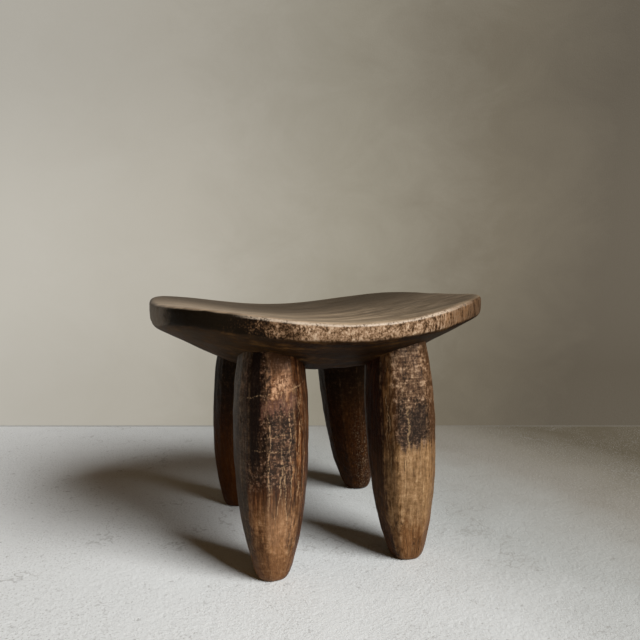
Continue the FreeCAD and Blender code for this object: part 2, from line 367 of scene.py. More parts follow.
def seat_underside(x, y):
    """Height of the underside: a flat belly, then a slope up to the rim."""
    low, high = 0.0, 1.0
    for _ in range(30):
        middle = (low + high) / 2
        half_length, half_width, height = underside_outline(middle)
        if (x / half_length) ** 2 + (y / half_width) ** 2 > 1:
            low = middle
        else:
            high = middle
    return underside_outline(high)[2]


def lay_out_seat():
    """A closed board in the seat's plan, with its top and underside at their heights."""
    let_go()
    bpy.ops.mesh.primitive_grid_add(x_subdivisions=SEAT_GRID, y_subdivisions=SEAT_GRID, size=2)
    seat = bpy.context.object
    seat.name = "carved_seat"
    for point in seat.data.vertices:
        point.co.x, point.co.y = square_to_plan(point.co.x, point.co.y)
    open_up(seat)
    bpy.ops.mesh.select_all(action="SELECT")
    bpy.ops.mesh.extrude_region_move(TRANSFORM_OT_translate={"value": (0, 0, 1)})
    bpy.ops.object.mode_set(mode="OBJECT")
    for point in seat.data.vertices:
        shape = seat_top if point.co.z > 0.5 else seat_underside
        point.co.z = shape(point.co.x, point.co.y)
    open_up(seat)
    face_outwards()
    return seat


def round_rim(seat):
    """Rounds the upper and the lower edge of the band round the seat."""

    def on_outline(edge, side):
        faces = edge.link_faces
        walls = [face for face in faces if abs(face.normal.z) < STEEP]
        others = [face for face in faces if face.normal.z * side > STEEP]
        return len(walls) == 1 and len(others) == 1

    def at_grid_corner(point):
        x, y = GRID_CORNER
        return math.hypot(abs(point.co.x) - x, abs(point.co.y) - y) < GRID_CORNER_REACH

    open_up(seat)
    choose_edges(seat, lambda edge: on_outline(edge, 1))
    bpy.ops.mesh.bevel(offset=UPPER_RIM, segments=4, affect="EDGES")
    choose_edges(seat, lambda edge: on_outline(edge, -1))
    bpy.ops.mesh.bevel(offset=LOWER_RIM, segments=3, affect="EDGES")
    bpy.ops.object.mode_set(mode="OBJECT")
    refine(seat, 2)
    open_up(seat)
    choose_points(seat, at_grid_corner)
    bpy.ops.mesh.vertices_smooth(factor=0.5, repeat=12)
    bpy.ops.object.mode_set(mode="OBJECT")


def carve_seat():
    """One thick board: hollowed above, swept up at both ends, sloped in below."""
    seat = lay_out_seat()
    round_rim(seat)

    def inner(point):
        return eased(plan_inset(point.co.x, point.co.y), 0.010, 0.050)

    zone(seat, "top", lambda point: eased(point.normal.z, 0.4, 0.9))
    zone(seat, "band", lambda point: 1 - eased(abs(point.normal.z), 0.3, 0.9))
    zone(seat, "under", lambda point: eased(-point.normal.z, 0.2, 0.6) * inner(point))
    roughen(seat, "scraped_top", "CLOUDS", 0.045, 0.0016, "top", (3, 1, 1))
    roughen(seat, "worn_band", "CLOUDS", 0.022, 0.0012, "band")
    roughen(seat, "cut_band", "VORONOI", 0.013, 0.0006, "band")
    roughen(seat, "hewn_underside", "VORONOI", 0.030, 0.0018, "under")
    seat.vertex_groups.clear()
    return seat


def cut_mortises(seat):
    """Four blind round holes in the underside, one for each leg's tenon."""
    necks = [leg["neck"] for leg in LEGS.values()]
    let_go()
    borers = []
    for x, y in necks:
        bpy.ops.mesh.primitive_cylinder_add(
            vertices=64,
            radius=MORTISE_RADIUS,
            depth=MORTISE_TOP - BORER_START,
            location=(x, y, (MORTISE_TOP + BORER_START) / 2),
        )
        borers.append(bpy.context.object)
    let_go()
    for borer in borers:
        borer.select_set(True)
    bpy.context.view_layer.objects.active = borers[0]
    bpy.ops.object.join()
    borer = bpy.context.object
    apply_modifier(seat, "BOOLEAN", operation="DIFFERENCE", solver="EXACT", object=borer)
    bpy.data.objects.remove(borer)

    def on_mouth(point):
        reaches = [math.hypot(point.co.x - x, point.co.y - y) for x, y in necks]
        return any(abs(reach - MORTISE_RADIUS) < MOUTH_REACH for reach in reaches)

    open_up(seat)
    choose_points(seat, on_mouth)
    bpy.ops.mesh.remove_doubles(threshold=MOUTH_CROWDING)
    bpy.ops.mesh.select_mode(type="FACE")
    bpy.ops.mesh.select_all(action="DESELECT")
    bpy.ops.mesh.select_face_by_sides(number=4, type="GREATER")
    bpy.ops.mesh.quads_convert_to_tris(quad_method="BEAUTY", ngon_method="BEAUTY")
    bpy.ops.object.mode_set(mode="OBJECT")


def mark_seat(seat):
    """Keeps where the top, the underside, the rim and the rim's lip lie; the lip is lightened as wear and
    as a painted highlight.
    """

    def from_rim(point):
        inset = max(plan_inset(point.co.x, point.co.y), 0.0)
        return math.hypot(inset, seat_top(point.co.x, point.co.y) - point.co.z) * 1000

    def on_lip(point):
        return eased(point.normal.z, 0.15, 0.35) * eased(-point.normal.z, -0.93, -0.70)

    mark(seat, "top", lambda point: eased(point.normal.z, 0.6, 0.93))
    mark(seat, "under", lambda point: eased(-point.normal.z, 0.25, 0.55))
    mark(seat, "rim", from_rim)
    mark(seat, "lip", on_lip)


def leg_middle(leg, height):
    """The middle of a leg at a height, on the line from its sole to its neck."""
    sole = Vector((*leg["sole"], 0))
    neck = Vector((*leg["neck"], NECK))
    return sole + (neck - sole) * (height / NECK)


def leg_way(leg, degrees):
    """The direction, in plan, that many degrees round from the way a leg faces."""
    angle = math.radians(leg["facing"] + degrees)
    return Vector((math.cos(angle), math.sin(angle), 0))


def leg_radius(height):
    """Corner radius of a leg above its last full ring, on its curve in to the neck."""
    last_height, last_radius = LEG_RINGS[-1]
    share = (height - last_height) / (NECK - last_height)
    return last_radius - NECK_TAPER * share - NECK_CURVE * share ** 2


def arris_gap(leg, place):
    """How far round, in degrees, a place on a leg is from the nearest arris, and its reach."""
    out = place - leg_middle(leg, place.z)
    degrees = math.degrees(math.atan2(out.y, out.x)) - leg["facing"]
    gap = min(abs((degrees - arris + 180) % 360 - 180) for arris in leg["arrises"])
    return gap, math.hypot(out.x, out.y)


def leg_columns(leg):
    """The columns of points round a leg: its arrises, and the crowned middles of its wide flats."""
    arrises = sorted(leg["arrises"])
    columns = []
    for arris, following in zip(arrises, arrises[1:] + [arrises[0] + 360]):
        gap = following - arris
        columns.append((arris, 1.0))
        if gap > WIDE_FLAT:
            reach = FLAT_CROWN + (1 - FLAT_CROWN) * math.cos(math.radians(gap / 2))
            columns.append((arris + gap / 2, reach))
    return columns


def raise_leg(name, leg):
    """The plain leg, ring by ring from its sole up to the seat's underside, open at both ends."""
    columns = leg_columns(leg)
    sole = leg_middle(leg, 0)
    sole_radius = LEG_RINGS[0][1]
    let_go()
    bpy.ops.mesh.primitive_circle_add(
        vertices=len(columns), radius=sole_radius, fill_type="NOTHING", location=sole
    )
    piece = bpy.context.object
    piece.name = "carved_" + name
    bpy.ops.object.transform_apply(location=True, rotation=True, scale=True)
    for point, (degrees, reach) in zip(piece.data.vertices, columns):
        point.co = sole + leg_way(leg, degrees) * sole_radius * reach

    open_up(piece)
    bpy.ops.mesh.select_all(action="SELECT")
    for (low, low_radius), (high, high_radius) in zip(LEG_RINGS, LEG_RINGS[1:]):
        step = leg_middle(leg, high) - leg_middle(leg, low)
        bpy.ops.mesh.extrude_region_move(TRANSFORM_OT_translate={"value": step})
        ratio = high_radius / low_radius
        bpy.ops.transform.resize(value=(ratio, ratio, 1), center_override=leg_middle(leg, high))
    bpy.ops.mesh.extrude_region_move(TRANSFORM_OT_translate={"value": (0, 0, FIRST_RISE)})
    bpy.ops.object.mode_set(mode="OBJECT")
    for point, (degrees, reach) in zip(piece.data.vertices[-len(columns):], columns):
        height = BELLY
        for _ in range(12):
            place = leg_middle(leg, height) + leg_way(leg, degrees) * leg_radius(height) * reach
            height = seat_underside(place.x, place.y)
        point.co = (place.x, place.y, height)
    return piece


def hew_leg(piece, name, leg):
    """Softens a leg's arrises, closes its sole and gives its flats their cuts and waves."""

    def is_arris(edge):
        low, high = (point.co for point in edge.verts)
        run = high - low
        upright = abs(run.z) >= STEEP * run.length
        return upright and arris_gap(leg, (low + high) / 2)[0] < ARRIS_REACH

    open_up(piece)
    choose_edges(piece, is_arris)
    bpy.ops.mesh.bevel(offset=ARRIS_SOFTNESS, segments=2, affect="EDGES", clamp_overlap=True)
    choose_points(piece, lambda point: point.co.z < 1e-5)
    bpy.ops.mesh.edge_face_add()
    for inset in SOLE_INSETS:
        bpy.ops.mesh.inset(thickness=inset)
    face_outwards()
    refine(piece, 3)

    zone(piece, "shaft", lambda point: eased(point.co.z, 0.002, 0.02))
    roughen(piece, name + "_sway", "CLOUDS", 0.05, 0.0030, "shaft", (1, 1, 2))
    roughen(piece, name + "_flutes", "CLOUDS", 0.010, 0.0010, "shaft", (1, 1, 9))
    roughen(piece, name + "_chips", "VORONOI", 0.014, 0.0009, "shaft", (1, 1, 1.6))


def open_edge_points(piece):
    """Numbers of the points round the open top of a leg."""
    counts = {}
    for face in piece.data.polygons:
        for key in face.edge_keys:
            counts[key] = counts.get(key, 0) + 1
    points = piece.data.vertices
    lowest = max(point.co.z for point in points) - SCRIBED_DEPTH
    open_keys = [key for key, count in counts.items() if count == 1]
    return {index for key in open_keys for index in key if points[index].co.z > lowest}


def scribe_leg(piece, seat):
    """Fits the open top of a leg to the seat, and gives the numbers of its points."""
    top = open_edge_points(piece)
    zone(piece, "scribed", lambda point: 1.0 if point.index in top else 0.0)
    apply_modifier(
        piece,
        "SHRINKWRAP",
        target=seat,
        wrap_method="PROJECT",
        use_project_z=True,
        use_positive_direction=True,
        use_negative_direction=True,
        vertex_group="scribed",
    )
    piece.vertex_groups.clear()
    return top


def add_tenon(piece, leg, top):
    """Closes the top of a leg with a shoulder and a round upright tenon."""
    neck_x, neck_y = leg["neck"]
    open_up(piece)
    choose_points(piece, lambda point: point.index in top)
    bpy.ops.mesh.extrude_region_move(TRANSFORM_OT_translate={"value": (0, 0, 0)})
    shoulder = {point.index for point in bmesh.from_edit_mesh(piece.data).verts if point.select}
    bpy.ops.object.mode_set(mode="OBJECT")
    for index in shoulder:
        place = piece.data.vertices[index].co
        out = Vector((place.x - neck_x, place.y - neck_y)).normalized() * TENON_RADIUS
        place.x, place.y = neck_x + out.x, neck_y + out.y
        place.z = seat_underside(place.x, place.y)
    open_up(piece)
    choose_points(piece, lambda point: point.index in shoulder)
    bpy.ops.mesh.extrude_region_move(TRANSFORM_OT_translate={"value": (0, 0, FIRST_RISE)})
    bpy.ops.transform.resize(value=(1, 1, 0), center_override=(neck_x, neck_y, TENON_TOP))
    bpy.ops.mesh.edge_face_add()
    face_outwards()


def carve_leg(name, leg, seat):
    """A leg split into long flats, scribed to the seat, with its tenon."""
    piece = raise_leg(name, leg)
    hew_leg(piece, name, leg)
    add_tenon(piece, leg, scribe_leg(piece, seat))

    def from_arris(point):
        gap, reach = arris_gap(leg, point.co)
        return math.radians(gap) * reach * 1000

    mark(piece, "arris", from_arris)
    return piece


class Signal:
    """A value that varies over a surface. Arithmetic on it adds Math nodes to its finish."""

    def __init__(self, finish, socket):
        self.finish = finish
        self.socket = socket

    def __add__(self, other):
        return self.finish.math("ADD", self, other)

    def __radd__(self, other):
        return self.finish.math("ADD", other, self)

    def __sub__(self, other):
        return self.finish.math("SUBTRACT", self, other)

    def __rsub__(self, other):
        return self.finish.math("SUBTRACT", other, self)

    def __mul__(self, other):
        return self.finish.math("MULTIPLY", self, other)

    def __rmul__(self, other):
        return self.finish.math("MULTIPLY", other, self)

    def __truediv__(self, other):
        return self.finish.math("DIVIDE", self, other)

    def __abs__(self):
        return self.finish.math("ABSOLUTE", self)

    def rise(self, low, high):
        """0 below low, 1 above high, eased between."""
        return self.finish.node(
            "ShaderNodeMapRange",
            {"interpolation_type": "SMOOTHSTEP"},
            {"Value": self, "From Min": low, "From Max": high, "To Min": 0.0, "To Max": 1.0},
        )

    def fall(self, low, high):
        """1 below low, 0 above high, eased between."""
        return 1 - self.rise(low, high)

    def within(self, low, high, soft):
        """1 between low and high, fading out over soft on both sides."""
        return self.rise(low - soft, low + soft) * self.fall(high - soft, high + soft)


class Finish:
    """A material and the nodes that paint it."""

    def __init__(self, name):
        self.material = bpy.data.materials.new(name)
        self.material.use_nodes = True
        self.tree = self.material.node_tree
        self.tree.nodes.clear()
        self.place = self.node("ShaderNodeTexCoord", {}, {}, "Object")
        separated = self.tree.nodes.new("ShaderNodeSeparateXYZ")
        self.tree.links.new(self.place.socket, separated.inputs[0])
        self.x, self.y, self.z = (Signal(self, socket) for socket in separated.outputs)

    def node(self, kind, settings, sockets, output=0):
        """Adds a node: its settings first, then the values or links of its sockets."""
        made = self.tree.nodes.new(kind)
        for name, value in settings.items():
            if name == "stops":
                self.set_stops(made.color_ramp, value)
            else:
                setattr(made, name, value)
        for name, value in sockets.items():
            self.feed(made.inputs[name], value)
        return Signal(self, made.outputs[output]) if made.outputs else None

    def set_stops(self, ramp, stops):
        """Gives a ramp its places and colours."""
        while len(ramp.elements) < len(stops):
            ramp.elements.new(1.0)
        for element, (position, colour) in zip(ramp.elements, stops):
            element.position = position
            element.color = (*colour, 1)

    def feed(self, socket, value):
        """Links a value to a socket, or sets a number or a colour on it."""
        if isinstance(value, Signal):
            self.tree.links.new(value.socket, socket)
        elif isinstance(value, tuple) and len(value) == 3 and socket.type == "RGBA":
            socket.default_value = (*value, 1)
        else:
            socket.default_value = value

    def math(self, operation, *values):
        """A Math node on values, numbers or both."""
        return self.node("ShaderNodeMath", {"operation": operation}, dict(enumerate(values)))

    def blend(self, share, first, second):
        """A colour between two colours."""
        return self.node("ShaderNodeMix", {"data_type": "RGBA"}, {0: share, 6: first, 7: second}, 2)

    def scaled(self, scale, shift=(0, 0, 0)):
        """The place on the piece, stretched and shifted for a pattern."""
        return self.node("ShaderNodeMapping", {}, {"Vector": self.place, "Scale": scale, "Location": shift})

    def noise(self, scale, shift=(0, 0, 0), detail=3.0, roughness=0.55, distortion=0.0, place=None):
        """A cloudy pattern, with its own number of features per metre along x, y and z."""
        return self.node(
            "ShaderNodeTexNoise",
            {},
            {
                "Vector": self.scaled(scale, shift) if place is None else place,
                "Scale": 1.0,
                "Detail": detail,
                "Roughness": roughness,
                "Distortion": distortion,
            },
        )

    def kept(self, name):
        """A number kept in the mesh."""
        return self.node("ShaderNodeAttribute", {"attribute_name": name}, {}, "Fac")

    def tones(self, value, *stops):
        """A colour picked by a value along a row of tones."""
        return self.node("ShaderNodeValToRGB", {"stops": stops}, {"Fac": value})

    def shade(self, colour, roughness, relief, depth, specular, coat=0.0, glow=None):
        """Joins colour, gloss and fine relief in one surface."""
        bump = self.node("ShaderNodeBump", {}, {"Strength": 1.0, "Distance": depth, "Height": relief})
        surface = self.node(
            "ShaderNodeBsdfPrincipled",
            {},
            {
                "Base Color": colour,
                "Roughness": roughness,
                "Normal": bump,
                "Specular IOR Level": specular,
                "Coat Weight": coat,
                "Coat Roughness": 0.34,
                "Specular Tint": (1.0, 0.74, 0.52, 1),
                "Emission Color": (0, 0, 0) if glow is None else glow,
                "Emission Strength": 0.0 if glow is None else 1.0,
            },
        )
        self.node("ShaderNodeOutputMaterial", {}, {"Surface": surface})


class SeatFinish(Finish):
    """Finish of the seat, with the patterns that its top, its band and its underside share."""

    def __init__(self):
        super().__init__("seat_patina")
        self.grain = self.noise((5, 160, 160), detail=6.0, roughness=0.68)
        self.smear = self.noise((9, 46, 46), shift=(8, 4, 1), detail=6.0, roughness=0.66)
        self.fleck = self.noise((430, 430, 330), shift=(1, 4, 2), detail=4.0, roughness=0.7)
        self.stripe = self.noise((330, 330, 45), shift=(6, 3, 9), detail=3.0)
        self.blotch = self.noise((80, 80, 110), shift=(2, 7, 5), detail=5.0, roughness=0.7)
        cloud = self.noise((14, 18, 40), shift=(5, 2, 7), detail=4.0)
        self.along = self.x + (cloud - 0.5) * 0.08 + (self.fleck - 0.5) * 0.05
        self.striped = self.along.rise(0.07, 0.13) * 0.38 + 0.1
        # How far back a place lies: the top is darkened there as painted shade, and its coat is thinner.
        self.far = (self.y + (self.smear - 0.5) * 0.10).rise(-0.05, 0.11)

    def top(self):
        """Polished grey-brown, lighter at the left end and darker at the right end as a painted reflection,
        and darker to the far side as painted shade.
        """
        fibre = self.noise((8, 400, 400), shift=(4, 9, 2), detail=4.0, roughness=0.6)
        colour = self.tones(
            (self.grain * 0.3 + self.smear * 0.46 + fibre * 0.24 - 0.5) * 1.9 + 0.52,
            (0.34, (0.064, 0.038, 0.018)),
            (0.50, (0.210, 0.143, 0.083)),
            (0.66, (0.470, 0.350, 0.230)),
        )
        # Painted reflection: the left end is lightened as if it mirrored a bright backdrop.
        colour = self.blend(self.x.fall(-0.22, 0.08) * 0.4, colour, (0.370, 0.285, 0.205))
        # Painted reflection: the right end is darkened as if it mirrored a dark backdrop.
        colour = self.blend(self.x.rise(0.00, 0.16) * 0.62, colour, (0.040, 0.024, 0.011))
        # Painted shade darkens the far side of the top.
        return self.blend(self.far * 0.85, colour, (0.026, 0.015, 0.006))

    def band(self):
        """Flecked tan, blackened towards the left end by painted shade, striped and dark towards the right
        with painted shade on the right tip, and a painted sheen on the left end's face.
        """
        # Painted shade: the band darkens towards the left end, which faces away from the lamp.
        left_end_shade = self.along.fall(-0.160, -0.070) * 0.34 + self.along.within(-0.100, -0.078, 0.008) * 0.05
        tan = self.fleck * 0.55 + self.blotch * 0.45
        tan = tan * (1 - self.striped) + self.stripe * self.striped
        tan = (tan - 0.5) * (1.4 + self.striped * 1.6) + 0.51
        colour = self.tones(
            tan - left_end_shade,
            (0.26, (0.004, 0.002, 0.001)),
            (0.38, (0.046, 0.023, 0.010)),
            (0.47, (0.150, 0.085, 0.044)),
            (0.56, (0.340, 0.215, 0.128)),
            (0.70, (0.560, 0.418, 0.290)),
        )
        # Painted shade: the band turns near black towards the left end.
        colour = self.blend(self.along.fall(-0.172, -0.105) * 0.85, colour, (0.006, 0.004, 0.002))
        orange = self.along.rise(0.105, 0.150) * 0.55 * self.stripe.rise(0.4, 0.6)
        colour = self.blend(orange, colour, (0.290, 0.130, 0.042))
        brown = (self.along + (self.blotch - 0.5) * 0.1).rise(0.105, 0.170) * 0.72
        colour = self.blend(brown, colour, (0.070, 0.037, 0.018))
        # Painted shade on the band's right tip, broken up by the stripes.
        right_tip_shade = (self.x + (self.blotch - 0.5) * 0.05).rise(0.150, 0.190)
        right_tip_shade = right_tip_shade * (self.stripe.fall(0.40, 0.62) * 0.5 + 0.4)
        colour = self.blend(right_tip_shade, colour, (0.030, 0.016, 0.008))
        # Painted sheen: the left end's face is lightened as if it mirrored a bright backdrop.
        left_end_sheen = (self.x + (self.blotch - 0.5) * 0.02).fall(-0.226, -0.214) * (self.stripe * 0.6 + 0.4)
        return self.blend(left_end_sheen, colour, (0.215, 0.165, 0.118))

    def underside(self):
        """Dark brown, with painted light making it a little paler towards the left end."""
        colour = self.tones(
            (self.grain * 0.5 + self.smear * 0.25 + self.blotch * 0.25 - 0.5) * 1.9 + 0.47,
            (0.38, (0.008, 0.003, 0.001)),
            (0.52, (0.026, 0.010, 0.002)),
            (0.64, (0.090, 0.042, 0.012)),
        )
        # Painted light makes the underside paler towards the left end.
        return self.blend(self.x.fall(-0.20, -0.04) * 0.35, colour, (0.060, 0.035, 0.016))


def seat_finish():
    """Polished top, flecked band, dark underside and a bare worn lip along the rim, the lip and the top
    beside it also lightened as a painted highlight.
    """
    wood = SeatFinish()
    top = wood.kept("top")
    colour = wood.blend(top, wood.band(), wood.top())
    # Partly paler worn wood and partly a painted highlight fading in from the rim onto the top, away from
    # the left end.
    rim_wear_and_highlight = (wood.kept("rim") + (wood.grain - 0.5) * 26).fall(2, 16) * top * wood.along.rise(-0.2, -0.05)
    colour = wood.blend(rim_wear_and_highlight * 0.3, colour, (0.330, 0.250, 0.165))
    colour = wood.blend(wood.kept("under"), colour, wood.underside())
    # The lip is lightened partly as bare worn wood and partly as a painted highlight where the lamp glints
    # on the rim's round.
    worn = (wood.fleck * 0.6 + wood.blotch * 0.4).rise(0.36, 0.52) * wood.along.within(-0.125, 0.150, 0.03)
    worn = wood.kept("lip") * worn
    colour = wood.blend(worn * 0.9, colour, (0.480, 0.382, 0.284))

    roughness = 0.52 + (wood.fleck - 0.5) * 0.25 + (wood.grain - 0.5) * 0.36 - worn * 0.1
    relief = wood.grain * (0.5 + top * 0.6) + (wood.fleck * 0.7 + wood.stripe * wood.striped) * (1 - top)
    wood.shade(colour, roughness, relief, 0.0008, 0.1, top * (0.34 - wood.far * 0.22) + worn * 0.4)
    return wood.material


class LegFinish(Finish):
    """Finish of a leg. Places on it are measured round it, in degrees from the way it faces,
    and up from its sole, in millimetres."""

    def __init__(self, name, leg):
        super().__init__(name)
        (sole_x, sole_y), (neck_x, neck_y) = leg["sole"], leg["neck"]
        out_x = self.x - self.z * ((neck_x - sole_x) / NECK) - sole_x
        out_y = self.y - self.z * ((neck_y - sole_y) / NECK) - sole_y
        turn = math.radians(leg["facing"])
        forward = out_x * math.cos(turn) + out_y * math.sin(turn)
        sideways = out_y * math.cos(turn) - out_x * math.sin(turn)
        self.around = self.math("ARCTAN2", sideways, forward) * math.degrees(1)
        self.height = self.z * 1000
        self.arris = self.kept("arris")
        self.grain = self.noise((130, 130, 7), detail=6.0, roughness=0.66)
        self.hair = self.noise((420, 420, 24), shift=(3, 5, 1), detail=3.0)
        self.cloud = self.noise((26, 26, 18), shift=(7, 3, 4), detail=4.0)
        self.mottle = self.noise((190, 190, 130), shift=(2, 6, 3), detail=5.0, roughness=0.7)
        self.flake = self.noise((400, 400, 330), shift=(9, 2, 4), detail=3.0, roughness=0.65)
        self.chatter = self.noise((60, 60, 420), shift=(4, 1, 6), detail=3.0)
        self.bend = self.noise((30, 30, 36), shift=(6, 2, 8), detail=3.0)
        line = self.noise((95, 95, 7), shift=(1, 8, 5), detail=3.0, distortion=0.3)
        self.checks = (1 - abs(line * 2 - 1)).rise(0.92, 0.985) * self.flake.rise(0.35, 0.55)
        crack = self.noise((120, 120, 9), shift=(5, 5, 2), detail=2.0, distortion=0.2)
        self.cracks = (1 - abs(crack * 2 - 1)).rise(0.93, 0.99) * self.cloud.rise(0.5, 0.62)
        self.streaky = self.stretched(self.grain * 0.45 + self.hair * 0.3 + self.mottle * 0.25, 1.9)
        mottled = self.mottle * 0.4 + self.chatter * 0.14 + self.hair * 0.16 + self.flake * 0.14
        self.mottled = self.stretched(mottled + self.cloud * 0.16, 2.1)
        self.crusty = self.stretched(self.mottle * 0.5 + self.flake * 0.25 + self.chatter * 0.25, 1.9)
        self.ragged_around = self.around + (self.grain - 0.5) * 40 + (self.mottle - 0.5) * 22
        self.ragged_height = self.height + (self.grain - 0.5) * 80 + (self.mottle - 0.5) * 34

    def stretched(self, value, contrast):
        """A pattern with more contrast about its middle."""
        return (value - 0.5) * contrast + 0.5

    def patch(self, left, right, low, high):
        """A ragged patch between two places round the leg and two heights."""
        return self.ragged_around.within(left, right, 6) * self.ragged_height.within(low, high, 8)

    def drip(self, low, high, around_low, around_high, width=0.6):
        """A thin broken line that wanders up between two heights."""
        share = (self.height - low) / (high - low)
        middle = share * (around_high - around_low) + around_low + (self.bend - 0.5) * 20
        away = abs(self.around - middle)
        broken = self.flake.rise(0.36, 0.56)
        return away.fall(width * 0.5, width * 2.2) * self.height.within(low, high, 12) * broken

    def cut(self, left, right, height_left, height_right, width=0.6):
        """A thin broken line across the leg between two places round it."""
        share = (self.around - left) / (right - left)
        middle = share * (height_right - height_left) + height_left + (self.cloud - 0.5) * 8
        away = abs(self.height - middle + (self.grain - 0.5) * 6)
        broken = self.flake.rise(0.42, 0.58)
        return away.fall(width * 0.5, width * 2.0) * self.around.within(left, right, 8) * broken * 0.7

    def complete(self, colour, specular, gloss, wear_and_highlight_share=0.2):
        """Lightens the arrises as wear and painted highlight, opens the cracks and joins all in the
        surface.
        """
        polished = self.arris.fall(0.3, 2.4)
        # The arrises are lightened partly as wear and partly as a painted highlight.
        arris_wear_and_highlight = polished * self.mottle.rise(0.4, 0.6) * wear_and_highlight_share
        colour = self.blend(arris_wear_and_highlight, colour, (0.300, 0.180, 0.090))
        colour = self.blend(self.cracks * 0.6, colour, (0.012, 0.005, 0.002))
        roughness = 0.48 + (self.mottle - 0.5) * 0.4 - polished * 0.06
        relief = self.streaky * 0.35 + self.mottle * 0.6 + self.flake * 0.25 - self.checks * 0.3
        self.shade(colour, roughness, relief - self.cracks * 0.4, 0.0010, specular, gloss)
        return self.material


def front_left_finish(leg):
    """Black crust that drips and crackles over warm brown, with a bare orange patch under the seat that is
    partly brightened as a painted highlight, a painted lit front and shaded left low down, and a painted
    grey sheen on the left flats.
    """
    wood = LegFinish("front_left_patina", leg)
    colour = wood.tones(
        wood.streaky,
        (0.30, (0.008, 0.002, 0.001)),
        (0.45, (0.034, 0.010, 0.003)),
        (0.57, (0.084, 0.030, 0.010)),
        (0.74, (0.270, 0.118, 0.046)),
    )
    warm = wood.tones(
        wood.mottled,
        (0.26, (0.064, 0.023, 0.007)),
        (0.42, (0.144, 0.061, 0.022)),
        (0.56, (0.248, 0.121, 0.051)),
        (0.74, (0.470, 0.275, 0.142)),
    )
    crust = wood.tones(
        wood.crusty,
        (0.32, (0.005, 0.002, 0.001)),
        (0.47, (0.022, 0.010, 0.005)),
        (0.58, (0.066, 0.031, 0.016)),
        (0.74, (0.250, 0.134, 0.076)),
    )
    crust = wood.blend(wood.flake.rise(0.57, 0.66) * 0.42, crust, (0.400, 0.255, 0.165))
    bare = wood.tones(
        wood.mottled,
        (0.28, (0.040, 0.012, 0.004)),
        (0.45, (0.150, 0.060, 0.023)),
        (0.68, (0.420, 0.215, 0.105)),
    )
    # Grey tones for a painted sheen on the left flats.
    grey = wood.tones(
        wood.mottled,
        (0.30, (0.014, 0.009, 0.006)),
        (0.50, (0.054, 0.038, 0.026)),
        (0.70, (0.150, 0.112, 0.082)),
    )
    lower = wood.ragged_height.fall(72, 122)
    colour = wood.blend(lower * wood.around.fall(34, 66), colour, warm)
    # Painted light: the front of the lower leg is lightened where the lamp falls on it.
    colour = wood.blend(lower * wood.around.within(-8, 26, 14) * 0.35, colour, (0.370, 0.190, 0.086))
    colour = wood.blend(wood.ragged_height.fall(5, 55) * 0.5, colour, (0.090, 0.033, 0.011))
    # Painted shade: the low left side is darkened, away from the lamp.
    colour = wood.blend(wood.patch(-60, -24, 20, 75) * 0.5, colour, (0.045, 0.018, 0.007))
    colour = wood.blend(wood.patch(-42, 34, 128, 340) * 0.94, colour, crust)
    colour = wood.blend(wood.patch(-38, -15, 155, 340) * 0.95, colour, (0.003, 0.001, 0.001))
    colour = wood.blend(wood.patch(-4, 33, 258, 340) * 0.6, colour, (0.080, 0.034, 0.014))
    # The bare orange patch is partly bare wood and partly a painted highlight where the lamp glints.
    colour = wood.blend(wood.patch(-3, 33, 230, 268) * 0.9, colour, bare)
    orange = wood.patch(3, 26, 240, 260) * wood.mottle.rise(0.42, 0.56)
    colour = wood.blend(orange * 0.8, colour, (0.620, 0.370, 0.220))
    colour = wood.blend(wood.patch(-16, 33, 216, 228) * 0.5, colour, (0.200, 0.085, 0.056))
    # Painted sheen: the left flats are greyed as if they mirrored a pale backdrop.
    colour = wood.blend(wood.patch(-150, -42, 40, 340) * 0.9, colour, grey)
    pale = wood.drip(100, 215, -6, -3) + wood.drip(70, 165, 28, 18) + wood.drip(100, 225, 32, 30)
    pale = pale + wood.drip(110, 230, 44, 47) * 0.6 + wood.drip(95, 175, 57, 58) + wood.drip(85, 150, 8, 16)
    pale = pale + wood.cut(-52, 66, 233, 249) + wood.cut(-26, 27, 172, 171) + wood.cut(-12, 26, 188, 192)
    checked = wood.ragged_around.within(-20, 75, 8) * wood.height.within(90, 250, 30)
    pale = pale + wood.checks * checked * 0.5
    colour = wood.blend(pale.rise(0, 1) * 0.5, colour, (0.520, 0.330, 0.180))
    return wood.complete(colour, 0.14, wood.patch(-8, 38, 50, 272) * 0.38)


